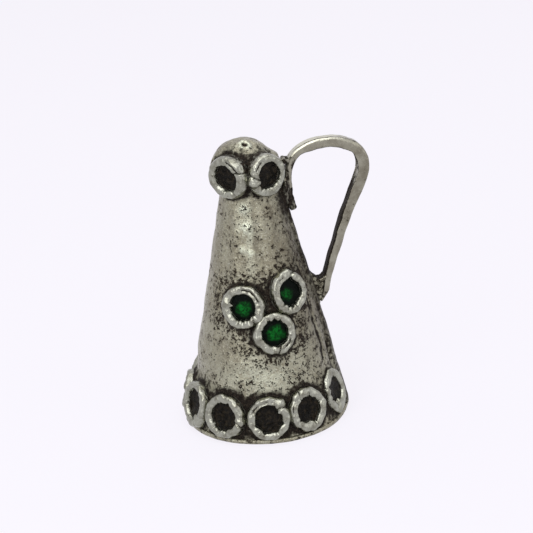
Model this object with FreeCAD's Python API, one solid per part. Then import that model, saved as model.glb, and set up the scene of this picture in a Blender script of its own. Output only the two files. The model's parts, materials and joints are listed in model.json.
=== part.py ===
"""A small silver jug: a sheet cone on a round plate, wire collets filled with enamel,
a strap handle, and a ball-shaped lid with two collets of its own that hinges on the strap.

Millimetres. +Z is up, the origin is the middle of the underside, and the handle is on +X.
"""
import FreeCAD
import Part
import math
import os

Vector = FreeCAD.Vector
UP = Vector(0, 0, 1)
ORIGIN = Vector(0, 0, 0)

# Body: a cone of sheet, beaten to narrow flats, that stands on a round plate
foot_radius = 10.9
neck_radius = 3.62
cone_height = 32.4
body_sides = 48
sheet = 0.5
plate_lip = 0.3
plate_thickness = 0.6
plate_edge = 0.15

# The sheet's lapped seam, a raised strip under the handle
lap_angles = (-20.0, 22.0)
lap_thickness = 0.25

# Lid: a ball of sheet, open below, and a flanged ring inside it that drops into the mouth
ball_radius = 4.3
ball_sheet = 0.45
ball_rise = 1.4
ball_courses = 8
lid_gap = 0.1
bezel_depth = 0.5
bezel_flange = 0.4
bezel_sheet = 0.4
bezel_clearance = 0.25

# Hinge between the ball and the strap
barrel_radius = 0.33
barrel_gap = 0.1
hinge_rise = 0.65
pin_radius = 0.17
pin_clearance = 0.04
pin_end = 0.06
lid_knuckle = 0.7
side_knuckle = 0.45
side_reach = 0.95
knuckle_gap = 0.08
web_height = 0.4

# Wire collets: the wire is hammered flat, and its height is above what carries the collet
wire_sides = 12
wire_width = 1.02
wire_height = 0.95
wire_chamfer = 0.3
wire_joint = 0.14
joint_first_angle = 285.0
joint_step_angle = 150.0
crimp = 0.22
seat_depth = 0.75

# Ring of collets round the foot: as many as go round it at about this pitch, from a margin
# in degrees beyond one edge of the lap to the same margin before the other
base_pitch = 6.0
base_margin = 17.25
base_gap = 0.14
base_lift = 0.49

# Group on the front: each collet's distance round the cone from the group's line, and its height
front_outer = 2.73
front_wire = 1.1
front_angle = -86.6
front_across = (-3.62, 0.0, 2.67)
front_heights = (18.1, 14.3, 19.1)

# Two collets on the lid, turned to the front
crown_angles = (-138.0, -66.0)
crown_gap = 0.26
crown_wire = 1.05
crown_height = 0.9
crown_sink = 0.15
crown_rise = 0.3
crown_below = 1.7
crown_draw = 1.0
crown_room = 4.12

# Enamel in the collets
fill_clearance = 0.03
dark_depth = 0.4
crown_depth = 0.6
green_depth = 0.45
green_shoulder = 0.39
green_shoulder_rise = 0.15
green_flat = 0.54
green_dome = 0.25

# Handle: a strap whose thickness grows to the shoulder and falls off again down the leg
strap_width = 1.8
strap_edge = 0.2
strap_thin = 1.0
strap_shoulder = 1.4
strap_leg = 1.25
strap_end = 1.0
handle_foot_drop = 5.1
handle_bite = 0.06
handle_clearance = 0.16
handle_rise = 3.99
handle_reach = 14.88
arch_lean = 1.06
arch_drop = 1.5
arch_in = 4.78
shoulder_in = 1.28
shoulder_drop = 1.05
shoulder_fall = 3.69
knee_in = 0.98
knee_fall = 3.2
leg_share = 0.418
leg_bow = 0.27
leg_end_z = 15.5
leg_stand = 1.15
gusset_width = 1.5
gusset_rise = 2.8
gusset_drop = 1.3

# Places that follow from the sizes above
cone_top = plate_thickness + cone_height
cone_slope = (foot_radius - neck_radius) / cone_height
cone_tilt = math.degrees(math.atan(cone_slope))
cone_cos = math.cos(math.radians(cone_tilt))
sheet_across = sheet / cone_cos
lap_across = lap_thickness / cone_cos
plate_radius = foot_radius + plate_lip
mouth_radius = neck_radius - sheet_across
ball_z = cone_top + ball_rise
lid_rim = cone_top + lid_gap
hinge_z = ball_z + hinge_rise
hinge_x = math.sqrt(ball_radius ** 2 - hinge_rise ** 2) + barrel_gap + barrel_radius
side_start = lid_knuckle / 2 + knuckle_gap
crown_seat = ball_radius - crown_sink
crown_z = ball_z + crown_rise
handle_foot_z = cone_top - handle_foot_drop
handle_top = cone_top + handle_rise

# Collets side by side nearly touch: each is as wide as its share of what carries it
base_start = lap_angles[1] + base_margin
base_span = 360 + lap_angles[0] - base_margin - base_start
base_steps = round(math.radians(base_span) * foot_radius / base_pitch)
base_step = base_span / base_steps
base_share = math.tan(math.radians(base_step) / 2)
base_narrowing = 1 + cone_slope * cone_cos * base_share
base_outer = ((foot_radius - cone_slope * base_lift) * base_share - base_gap) / base_narrowing
base_z = plate_thickness + base_lift + base_outer * cone_cos
crown_share = math.tan(math.radians(crown_angles[1] - crown_angles[0]) / 2)
crown_outer = crown_seat * crown_share - crown_gap


def cone_radius(z):
    """Outside radius of the cone at a height."""
    return foot_radius - cone_slope * (z - plate_thickness)


def flat_face(corners):
    return Part.Face(Part.makePolygon(corners + corners[:1]))


def turned(points):
    """A solid turned about the jug's axis from (radius, height) points."""
    return flat_face([Vector(r, 0, z) for r, z in points]).revolve(ORIGIN, UP, 360)


def many_sided(sides, radius, height, nick=0.0):
    """Corners of a level outline with straight sides, every other one drawn in by nick."""
    corners = []
    for i in range(sides):
        a = 2 * math.pi * i / sides
        r = radius - nick * (i % 2)
        corners.append(Vector(r * math.cos(a), r * math.sin(a), height))
    return corners


def faceted(loops):
    """A solid with flat sides between outlines that lie one above the other."""
    faces = [flat_face(loops[0]), flat_face(loops[-1])]
    sides = len(loops[0])
    for low, high in zip(loops, loops[1:]):
        for i in range(sides):
            j = (i + 1) % sides
            faces.append(flat_face([low[i], low[j], high[i]]))
            faces.append(flat_face([low[j], high[j], high[i]]))
    return Part.makeSolid(Part.makeShell(faces)).removeSplitter()


def box_between(low, high):
    """A box from its lowest corner to its highest."""
    size = [high[i] - low[i] for i in range(3)]
    return Part.makeBox(*size, Vector(*low))


def bar_along_y(radius, start, end):
    """A round bar on the hinge axis."""
    return Part.makeCylinder(radius, end - start, Vector(hinge_x, start, hinge_z), Vector(0, 1, 0))


def seat_frame(angle, radius, z, tilt):
    """A placement whose local Z points square out of the body, with local Y up its side."""
    upright = FreeCAD.Rotation(Vector(1, 0, 0), 90 - tilt)
    facing = FreeCAD.Rotation(UP, angle + 90)
    a = math.radians(angle)
    place = Vector(radius * math.cos(a), radius * math.sin(a), z)
    return FreeCAD.Placement(place, facing.multiply(upright))


def save(name, shape):
    """Write one piece, which has to be one sound solid."""
    solids = shape.Solids
    if len(solids) != 1 or not solids[0].isValid():
        raise ValueError("%s has %d solids" % (name, len(solids)))
    solids[0].exportStep("parts/%s.step" % name)


def make_base_plate():
    r, t, c = plate_radius, plate_thickness, plate_edge
    return turned([(0, 0), (r, 0), (r, t - c), (r - c, t), (0, t)])


def make_cone(inset):
    """The filled cone, beaten to narrow flats, with its side moved in by inset."""
    return faceted([many_sided(body_sides, foot_radius - inset, plate_thickness),
                    many_sided(body_sides, neck_radius - inset, cone_top)])


def make_lap():
    """The raised edge of the sheet where it laps over itself."""
    far = 2 * foot_radius
    sector = [ORIGIN]
    for angle in lap_angles:
        a = math.radians(angle)
        sector.append(Vector(far * math.cos(a), far * math.sin(a), 0))
    wedge = flat_face(sector).extrude(Vector(0, 0, cone_top))
    return make_cone(-lap_across).common(wedge).cut(make_cone(sheet_across / 2))


def make_ball():
    """The lid's ball, filled, cut off level at the lid's rim."""
    below = Part.makeCylinder(ball_radius, 2 * ball_radius, Vector(0, 0, lid_rim - 2 * ball_radius))
    return Part.makeSphere(ball_radius, Vector(0, 0, ball_z)).cut(below)


def make_hollow():
    """The space inside the ball, raised in courses that leave flats."""
    inside = ball_radius - ball_sheet
    rim_angle = math.asin((lid_rim - ball_z) / inside)
    course = (math.pi / 2 - rim_angle) / ball_courses
    points = [(0, lid_rim)]
    for i in range(ball_courses):
        a = rim_angle + course * i
        points.append((inside * math.cos(a), ball_z + inside * math.sin(a)))
    return turned(points + [(0, ball_z + inside)])


def make_crown_core():
    """What the lid's collets are trimmed to: the ball, and below it the room round the neck."""
    room = Part.makeCylinder(crown_room, ball_z)
    return Part.makeSphere(ball_radius, Vector(0, 0, ball_z)).fuse(room)


def make_bezel():
    """The ring inside the lid: a flange out to the ball, and a loose fit in the mouth below it."""
    drop = mouth_radius - bezel_clearance
    inside = drop - bezel_sheet
    foot = cone_top - bezel_depth
    top = lid_rim + bezel_flange
    flange = turned([(inside, lid_rim), (ball_radius, lid_rim), (ball_radius, top), (inside, top)])
    ring = turned([(inside, foot), (drop, foot), (drop, lid_rim), (inside, lid_rim)])
    return flange.common(make_hollow()).fuse(ring).removeSplitter()


def make_lid_knuckle():
    half = lid_knuckle / 2
    low = (hinge_x - barrel_radius - barrel_gap - ball_sheet, -half, hinge_z - web_height / 2)
    high = (hinge_x, half, hinge_z + web_height / 2)
    knuckle = bar_along_y(barrel_radius, -half, half).fuse(box_between(low, high))
    hole = bar_along_y(pin_radius + pin_clearance, -half, half)
    return knuckle.cut([make_ball(), hole]).removeSplitter()


def make_side_knuckle(side, strap):
    """A knuckle on the strap's face beside the lid's knuckle."""
    start, end = sorted((side * side_start, side * (side_start + side_knuckle)))
    low = (hinge_x, start, hinge_z - web_height / 2)
    high = (hinge_x + side_reach, end, hinge_z + web_height / 2)
    knuckle = bar_along_y(barrel_radius, start, end).fuse(box_between(low, high))
    return knuckle.cut([strap, bar_along_y(pin_radius, start, end)]).removeSplitter()


def make_pin():
    half = side_start + side_knuckle + pin_end
    return bar_along_y(pin_radius, -half, half)


def make_collet(outer, width, height, sink, draw, joint_angle):
    """A ring of hammered wire, its foot drawn in, its inner lip crimped and its two ends meeting."""
    c = wire_chamfer
    hole = outer - width
    outside = faceted([many_sided(wire_sides, outer - draw, -sink),
                       many_sided(wire_sides, outer, height - c),
                       many_sided(wire_sides, outer - c, height)])
    inside = faceted([many_sided(wire_sides, hole, -sink), many_sided(wire_sides, hole, height - c),
                      many_sided(wire_sides, hole + c, height, crimp)])
    joint = box_between((0, -wire_joint / 2, -sink), (outer, wire_joint / 2, height))
    joint.rotate(ORIGIN, UP, joint_angle)
    return outside.cut([inside, joint])


def make_dark_fill(hole, depth, sink):
    radius = hole - fill_clearance
    return faceted([many_sided(wire_sides, radius, -sink), many_sided(wire_sides, radius, depth)])


def make_green_fill(hole, depth, sink):
    """Enamel with a raised, glassy crown."""
    radius = hole - fill_clearance
    return faceted([many_sided(wire_sides, radius, -sink), many_sided(wire_sides, radius, depth),
                    many_sided(wire_sides, radius - green_shoulder, depth + green_shoulder_rise),
                    many_sided(wire_sides, green_flat, depth + green_dome)])


def seated(shape, frame, carrier):
    """A collet or fill moved to its place and trimmed to what carries it."""
    moved = shape.copy()
    moved.Placement = frame
    return moved.cut(carrier)


def leg_point(share):
    """A point on the straight from the knee, at share 0, to the strap's lower end by the cone."""
    knee = (handle_reach - knee_in, handle_top - shoulder_fall - knee_fall)
    end = (cone_radius(leg_end_z) + leg_stand, leg_end_z)
    return [knee[i] + share * (end[i] - knee[i]) for i in range(2)]


def handle_stations():
    """Points on the strap's middle line, each with the strap's thickness there."""
    foot_x = cone_radius(handle_foot_z) + lap_across + strap_thin / 2 - handle_bite
    upright_x = ball_radius + handle_clearance + strap_thin / 2
    arch_z = handle_top - arch_drop
    leg_x, leg_z = leg_point(leg_share)
    return [(foot_x, handle_foot_z, strap_thin),
            (upright_x, (handle_foot_z + arch_z) / 2, strap_thin),
            (upright_x + arch_lean, arch_z, strap_thin),
            (handle_reach - arch_in, handle_top, strap_thin),
            (handle_reach - shoulder_in, handle_top - shoulder_drop, (strap_thin + strap_shoulder) / 2),
            (handle_reach, handle_top - shoulder_fall, strap_shoulder),
            (*leg_point(0), strap_shoulder),
            (leg_x - leg_bow, leg_z, strap_leg),
            (*leg_point(1), strap_end)]


def make_handle(core):
    """The strap's side outline, drawn either side of its middle line and given its width."""
    stations = handle_stations()
    middle = Part.BSplineCurve()
    middle.interpolate([Vector(x, 0, z) for x, z, t in stations])
    outer, inner = [], []
    for x, z, thickness in stations:
        point = Vector(x, 0, z)
        along = middle.tangent(middle.parameter(point))[0]
        square = Vector(-along.z, 0, along.x)
        outer.append(point + square * (thickness / 2))
        inner.append(point - square * (thickness / 2))
    sides = []
    for points in (outer, inner):
        curve = Part.BSplineCurve()
        curve.interpolate(points)
        sides.append(curve.toShape())
    ends = [Part.makeLine(outer[0], inner[0]), Part.makeLine(outer[-1], inner[-1])]
    face = Part.Face(Part.Wire(Part.__sortEdges__(sides + ends)))
    face.translate(Vector(0, -strap_width / 2, 0))
    strap = face.extrude(Vector(0, strap_width, 0))
    long_edges = [e for e in strap.Edges if isinstance(e.Curve, Part.BSplineCurve)]
    return strap.makeChamfer(strap_edge, long_edges).cut(core)


def make_gusset(core, strap):
    """Solder that fills the corner between the strap's leg and the cone."""
    knee, end = leg_point(0), leg_point(1)
    lean = (knee[0] - end[0]) / (knee[1] - end[1])
    top = end[1] + gusset_rise
    low = end[1] - gusset_drop
    corners = [Vector(x, -gusset_width / 2, z) for x, z in
               ((cone_radius(top) - sheet, top), (end[0] + lean * gusset_rise, top), end,
                (cone_radius(low) - sheet, low))]
    return flat_face(corners).extrude(Vector(0, gusset_width, 0)).cut(core).cut(strap)


def save_collets(name, places, collet_at, fill, carrier):
    """One collet and one fill at each place, with the wire's joint turned differently each time."""
    for i, frame in enumerate(places):
        collet = collet_at(joint_first_angle + joint_step_angle * i)
        save("%s_collet_%02d" % (name, i + 1), seated(collet, frame, carrier))
        save("%s_enamel_%02d" % (name, i + 1), seated(fill, frame, carrier))


def save_base(core):
    places = [seat_frame(base_start + i * base_step, cone_radius(base_z), base_z, cone_tilt)
              for i in range(base_steps + 1)]
    save_collets("base", places,
                 lambda turn: make_collet(base_outer, wire_width, wire_height, seat_depth, 0, turn),
                 make_dark_fill(base_outer - wire_width, dark_depth, seat_depth), core)


def save_front(core):
    places = []
    for across, z in zip(front_across, front_heights):
        angle = front_angle + math.degrees(across / cone_radius(z))
        places.append(seat_frame(angle, cone_radius(z), z, cone_tilt))
    save_collets("front", places,
                 lambda turn: make_collet(front_outer, front_wire, wire_height, seat_depth, 0, turn),
                 make_green_fill(front_outer - front_wire, green_depth, seat_depth), core)


def save_crown():
    places = [seat_frame(angle, crown_seat, crown_z, 0) for angle in crown_angles]
    hole = crown_outer - crown_wire
    save_collets("crown", places,
                 lambda turn: make_collet(crown_outer, crown_wire, crown_height, crown_below,
                                          crown_draw, turn),
                 make_dark_fill(hole, crown_depth, crown_below), make_crown_core())


def main():
    os.makedirs("parts", exist_ok=True)
    core = make_cone(0).fuse(make_lap()).removeSplitter()
    save("base_plate", make_base_plate())
    save("body_cone", core.cut(make_cone(sheet_across)))
    save_base(core)
    save_front(core)
    save_crown()

    strap = make_handle(core)
    save("handle_strap", strap)
    save("handle_gusset", make_gusset(core, strap))

    save("lid_dome", make_ball().cut(make_hollow()))
    save("lid_bezel", make_bezel())
    save("lid_knuckle", make_lid_knuckle())
    save("hinge_knuckle_left", make_side_knuckle(1, strap))
    save("hinge_knuckle_right", make_side_knuckle(-1, strap))
    save("hinge_pin", make_pin())


main()
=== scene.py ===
"""The looks of the small silver jug: hammered sheet, wire collets, enamel and patina.

Pieces are modelled in millimetres about the jug's own axis and brought to metres when they are finished.
"""

import bpy
import json
import math
from mathutils import Matrix, Vector, noise

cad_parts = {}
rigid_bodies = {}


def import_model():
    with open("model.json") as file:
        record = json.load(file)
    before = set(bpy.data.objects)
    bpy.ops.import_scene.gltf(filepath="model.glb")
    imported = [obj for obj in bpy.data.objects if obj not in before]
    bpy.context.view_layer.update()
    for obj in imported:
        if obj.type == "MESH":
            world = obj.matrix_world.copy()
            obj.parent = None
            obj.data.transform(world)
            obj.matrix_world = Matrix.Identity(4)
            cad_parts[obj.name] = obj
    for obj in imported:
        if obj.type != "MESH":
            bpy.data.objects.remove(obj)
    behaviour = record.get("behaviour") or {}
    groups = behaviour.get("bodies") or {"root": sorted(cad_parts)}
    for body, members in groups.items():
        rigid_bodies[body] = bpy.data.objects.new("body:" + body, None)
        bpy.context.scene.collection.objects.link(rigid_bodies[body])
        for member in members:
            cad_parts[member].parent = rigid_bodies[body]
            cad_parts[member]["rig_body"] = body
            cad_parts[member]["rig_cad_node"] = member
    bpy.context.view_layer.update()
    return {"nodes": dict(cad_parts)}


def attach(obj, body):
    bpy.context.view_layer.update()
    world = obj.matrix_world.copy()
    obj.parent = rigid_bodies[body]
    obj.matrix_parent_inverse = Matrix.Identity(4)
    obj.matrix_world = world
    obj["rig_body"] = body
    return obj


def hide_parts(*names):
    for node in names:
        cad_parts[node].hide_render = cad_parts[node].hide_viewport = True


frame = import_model()

MM = 0.001

# Points of a solid's triangles that are nearer than this are one point, in millimetres
WELD = 0.002

# Sizes of the solids that the pieces stand for, in millimetres
FOOT_RADIUS = 10.9
NECK_RADIUS = 3.62
FOOT_Z = 0.6
CONE_TOP = 33.0
SHEET = 0.5
PLATE_RADIUS = 11.2
BALL_RADIUS = 4.3
BALL_Z = 34.4
BALL_SHEET = 0.45
LID_RIM = 33.1

# The sheet's lapped strip and the seam in front of it, in degrees round the axis, and the strip's rise
LAP_FROM = -20.0
LAP_TO = 22.0
LAP_RISE = 0.25
SEAM = -38.5

# Places that grime and painted shade go by: the strap's foot, its lower end and the middle of its loop
STRAP_FOOT = Vector((4.9, -1.0, 30.2))
STRAP_END = Vector((8.2, 0, 16.2))
LOOP_MIDDLE = Vector((9.6, 0, 28.0))

CONE_SLOPE = (FOOT_RADIUS - NECK_RADIUS) / (CONE_TOP - FOOT_Z)
CONE_TILT = math.atan(CONE_SLOPE)

# Collets: height, radius and wire of the foot's ring; seat and height of the lid's two, and the room
# that they leave round the neck; radius of the fills
BASE_Z = 3.757
BASE_OUTER = 2.734
BASE_WIRE = 1.02
CROWN_SEAT = 4.15
CROWN_Z = 34.7
CROWN_ROOM = 4.15
FILL_RADIUS = 1.95

# How finely the pieces are divided: sides round the axis, and rings from one end to the other
CONE_SIDES = 288
CONE_RINGS = 140
PLATE_SIDES = 240
BALL_SIDES = 144
BALL_RINGS = 40
FILL_SIDES = 56
FILL_RINGS = 10
WIRE_SIDES = 160
SECTION_SIDES = 28

# A lathed piece is open in its middle by this radius until it is closed
POLE = 0.05


def cone_radius(z):
    return FOOT_RADIUS - CONE_SLOPE * (z - FOOT_Z)


def step(low, high, value):
    """0 below low, 1 above high, and a smooth rise between them."""
    t = min(1.0, max(0.0, (value - low) / (high - low)))
    return t * t * (3 - 2 * t)


def bump(width, value):
    """1 at 0, falling away smoothly over a width to either side."""
    return math.exp(-(value / width) ** 2)


def turn_between(angle, other, full=2 * math.pi):
    """The turn from other to angle, the short way round; full is a whole turn."""
    return (angle - other + full / 2) % full - full / 2


def around(co):
    """A point's angle round the jug's axis, in degrees."""
    return math.degrees(math.atan2(co.y, co.x))


def drift(value, row):
    """Unevenness along a line, from -1 to 1; each row is a line of its own."""
    return noise.noise(Vector((value, row, 0)))


def ring_drift(angle, pace, row):
    """Unevenness round a ring, from -1 to 1, and quicker with a higher pace."""
    return noise.noise(Vector((math.cos(angle) * pace, math.sin(angle) * pace, row)))


def on_cone(angle, z):
    """A point of the cone's outside, from its angle in degrees and its height."""
    a = math.radians(angle)
    return Vector((cone_radius(z) * math.cos(a), cone_radius(z) * math.sin(a), z))


# Modelling

def begin():
    if bpy.context.mode != "OBJECT":
        bpy.ops.object.mode_set(mode="OBJECT")
    bpy.ops.object.select_all(action="DESELECT")


def pick(obj):
    begin()
    obj.select_set(True)
    bpy.context.view_layer.objects.active = obj
    return obj


def edit(obj):
    pick(obj)
    bpy.ops.object.mode_set(mode="EDIT")
    bpy.ops.mesh.select_all(action="SELECT")


def leave():
    bpy.ops.object.mode_set(mode="OBJECT")
    return bpy.context.object


def modified(obj, kind, **settings):
    """Adds a modifier with its settings and applies it."""
    pick(obj)
    made = obj.modifiers.new(kind.lower(), kind)
    for key, value in settings.items():
        setattr(made, key, value)
    bpy.ops.object.modifier_apply(modifier=made.name)
    return obj


def outward(obj):
    edit(obj)
    bpy.ops.mesh.normals_make_consistent(inside=False)
    return leave()


def lathe(outline, segments, capped=False):
    """A circle drawn out through (radius, height) points. A cap goes along to the last ring."""
    begin()
    radius, height = outline[0]
    bpy.ops.mesh.primitive_circle_add(vertices=segments, radius=radius, location=(0, 0, height),
                                      fill_type="TRIFAN" if capped else "NOTHING", enter_editmode=True)
    for new_radius, new_height in outline[1:]:
        bpy.ops.mesh.extrude_region_move(TRANSFORM_OT_translate={"value": (0, 0, new_height - height)})
        scale = new_radius / radius
        bpy.ops.transform.resize(value=(scale, scale, 1), center_override=(0, 0, new_height))
        radius, height = new_radius, new_height
    obj = leave()
    bpy.ops.object.transform_apply(location=True, rotation=True, scale=True)
    return obj


def joined_ends(obj, distance):
    edit(obj)
    bpy.ops.mesh.remove_doubles(threshold=distance)
    leave()
    return outward(obj)


def closed_pole(obj):
    """Draws the one open edge together to a point."""
    edit(obj)
    bpy.ops.mesh.select_all(action="DESELECT")
    bpy.ops.mesh.select_non_manifold()
    bpy.ops.mesh.merge(type="CENTER")
    leave()
    return outward(obj)


def rings_between(obj, cuts):
    """Divides the edges that run up a shape into more rings."""
    edit(obj)
    bpy.ops.mesh.select_all(action="DESELECT")
    bpy.ops.mesh.select_mode(type="EDGE")
    leave()
    points = obj.data.vertices
    for edge in obj.data.edges:
        low, high = (points[i].co for i in edge.vertices)
        edge.select = abs(high.z - low.z) > 0.5 * (high - low).length
    bpy.ops.object.mode_set(mode="EDIT")
    bpy.ops.mesh.subdivide_edgering(number_cuts=cuts, interpolation="LINEAR")
    bpy.ops.mesh.select_mode(type="VERT")
    return leave()


def hammered(obj, blow):
    """Moves each point to where blow puts it: the unevenness that hand work leaves."""
    for point in obj.data.vertices:
        point.co = blow(point.co.copy())
    obj.data.update()
    return obj


def swollen(obj, amount):
    """Moves each point along its direction, by an amount that its place and direction give."""
    moves = [point.normal * amount(point.co, point.normal) for point in obj.data.vertices]
    for point, move in zip(obj.data.vertices, moves):
        point.co += move
    obj.data.update()
    return obj


def painted(obj, name, amount):
    """Keeps a value at each point for the material to read, from the point's place and direction."""
    values = [amount(point.co, point.normal) for point in obj.data.vertices]
    obj.data.attributes.new(name, "FLOAT", "POINT").data.foreach_set("value", values)
    return obj


def copied(obj):
    """A copy with its own mesh."""
    twin = obj.copy()
    twin.data = obj.data.copy()
    bpy.context.scene.collection.objects.link(twin)
    return twin


def solid_copy(node, grain, rounds, lumps=()):
    """The solid's own form with lumps of solder on it, remeshed evenly and with its edges worn round."""
    obj = copied(frame["nodes"][node])
    obj.parent = None
    obj.name = node + "_worn"
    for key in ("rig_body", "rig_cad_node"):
        del obj[key]
    obj.data.transform(Matrix.Scale(1 / MM, 4))
    joined_ends(obj, WELD)
    for place, size in lumps:
        begin()
        bpy.ops.mesh.primitive_uv_sphere_add(segments=48, ring_count=24, radius=1.0,
                                             location=place, scale=size)
        obj.select_set(True)
        bpy.context.view_layer.objects.active = obj
        bpy.ops.object.join()
    modified(obj, "REMESH", mode="VOXEL", voxel_size=grain)
    modified(obj, "SMOOTH", factor=0.5, iterations=rounds)
    return obj


def placed(obj, matrix):
    obj.data.transform(matrix)
    return obj


def finished(obj, name, node, body, slot, material, angle=60.0):
    """Brings a piece to metres and hands it over in place of its solid."""
    obj.data.transform(Matrix.Scale(MM, 4))
    obj.name = name
    obj.data.name = name
    obj.data.materials.clear()
    obj.data.materials.append(material)
    pick(obj)
    bpy.ops.object.shade_smooth_by_angle(angle=math.radians(angle))
    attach(obj, body)
    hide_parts(node)
    return obj


# Materials

class Flow:
    """A socket in a node tree: arithmetic on it adds Math nodes."""

    def __init__(self, tree, socket):
        self.tree = tree
        self.socket = socket

    def maths(self, operation, first, second):
        node = self.tree.nodes.new("ShaderNodeMath")
        node.operation = operation
        for socket, value in zip(node.inputs, (first, second)):
            link(self.tree, socket, value)
        return Flow(self.tree, node.outputs[0])

    def __add__(self, other):
        return self.maths("ADD", self, other)

    def __radd__(self, other):
        return self.maths("ADD", other, self)

    def __sub__(self, other):
        return self.maths("SUBTRACT", self, other)

    def __rsub__(self, other):
        return self.maths("SUBTRACT", other, self)

    def __mul__(self, other):
        return self.maths("MULTIPLY", self, other)

    def __rmul__(self, other):
        return self.maths("MULTIPLY", other, self)

    def __or__(self, other):
        return self.maths("MAXIMUM", self, other)


def link(tree, socket, value):
    """Sets a socket to a value, or joins it to another node."""
    if isinstance(value, Flow):
        tree.links.new(value.socket, socket)
    else:
        socket.default_value = value


class Finish:
    """A material, or the world, while its nodes are put together."""

    def __init__(self, tree):
        self.tree = tree
        tree.nodes.clear()

    def node(self, kind, output=0, settings=None, sockets=None):
        """One node: its settings first, then the values or links of its sockets."""
        node = self.tree.nodes.new(kind)
        for key, value in (settings or {}).items():
            setattr(node, key, value)
        for key, value in (sockets or {}).items():
            link(self.tree, node.inputs[key], value)
        return Flow(self.tree, node.outputs[output])

    def noise(self, place, scale, detail=3.0, rough=0.55):
        return self.node("ShaderNodeTexNoise", "Fac", None,
                         {"Vector": place, "Scale": scale, "Detail": detail, "Roughness": rough})

    def cells(self, place, scale):
        """The distance from the nearest of many scattered points."""
        return self.node("ShaderNodeTexVoronoi", "Distance", {"feature": "F1"},
                         {"Vector": place, "Scale": scale})

    def step(self, value, low, high):
        return self.node("ShaderNodeMapRange", 0, {"interpolation_type": "SMOOTHSTEP"},
                         {"Value": value, "From Min": low, "From Max": high})

    def mix(self, share, first, second):
        """A colour between two colours."""
        return self.node("ShaderNodeMix", 2, {"data_type": "RGBA"}, {0: share, 6: first, 7: second})

    def attribute(self, name):
        return self.node("ShaderNodeAttribute", "Fac", {"attribute_name": name})

    def place(self):
        """Where a point is on the jug, in millimetres."""
        metres = self.node("ShaderNodeTexCoord", "Object")
        return self.node("ShaderNodeVectorMath", 0, {"operation": "SCALE"},
                         {"Vector": metres, "Scale": 1 / MM})

    def raised(self, height, depth):
        """A Bump node for relief of a depth in millimetres."""
        return self.node("ShaderNodeBump", 0, None, {"Height": height, "Distance": depth * MM})

    def surface(self, sockets):
        shader = self.node("ShaderNodeBsdfPrincipled", 0, None, sockets)
        self.node_out("ShaderNodeOutputMaterial", shader)

    def node_out(self, kind, shader):
        out = self.tree.nodes.new(kind)
        self.tree.links.new(shader.socket, out.inputs["Surface"])


def new_material(name):
    material = bpy.data.materials.new(name)
    material.use_nodes = True
    return material, Finish(material.node_tree)


# Colours of the silver: its patina, which also stands for painted shade, then the sheet, the wire and the
# rubbed pieces; among them are painted shade and painted highlight colours
PATINA_AND_SHADE = (0.005, 0.0038, 0.0026, 1)
BROWN = (0.034, 0.025, 0.017, 1)
SHEET_PALE = (0.325, 0.315, 0.232, 1)
SHEET_DEEP = (0.245, 0.228, 0.16, 1)
SHEET_CLOUD = (0.12, 0.1, 0.068, 1)
SHEET_GRAIN = (0.53, 0.53, 0.43, 1)
SHEET_SHADE = (0.1, 0.086, 0.06, 1)
SHEET_HIGHLIGHT = (0.66, 0.7, 0.55, 1)
WIRE_PALE = (0.34, 0.346, 0.288, 1)
WIRE_DEEP = (0.228, 0.226, 0.18, 1)
WIRE_CLOUD = (0.15, 0.14, 0.105, 1)
WIRE_BRIGHT = (0.46, 0.47, 0.4, 1)
RUBBED_PALE = (0.32, 0.31, 0.245, 1)
RUBBED_DEEP = (0.2, 0.185, 0.14, 1)
RUBBED_GRAIN = (0.44, 0.43, 0.35, 1)
RUBBED_HIGHLIGHT = (0.66, 0.66, 0.53, 1)

# Colours of the enamel; the last is a painted shadow that the collet's wall casts on the green
DARK_DEEP = (0.003, 0.0024, 0.0015, 1)
DARK_BROWN = (0.024, 0.018, 0.01, 1)
DARK_SPECK = (0.09, 0.06, 0.03, 1)
GREEN_DEEP = (0.0006, 0.024, 0.003, 1)
GREEN_CLEAR = (0.003, 0.125, 0.014, 1)
GREEN_WALL_SHADOW = (0.0004, 0.002, 0.0008, 1)


def tarnished_and_shaded(f, metal, dark, grain, roughness, dulling, relief):
    """Silver that is black-brown, and rougher by dulling, where it is dark: patina, pits and painted
    shade alike.
    """
    stain_and_shade = f.mix(f.step(grain, 0.4, 0.62), PATINA_AND_SHADE, BROWN)
    f.surface({"Base Color": f.mix(dark, metal, stain_and_shade), "Metallic": 1 - dark * 0.9,
               "Roughness": roughness + dark * dulling, "Specular IOR Level": 0.12, "Normal": relief})


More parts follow.
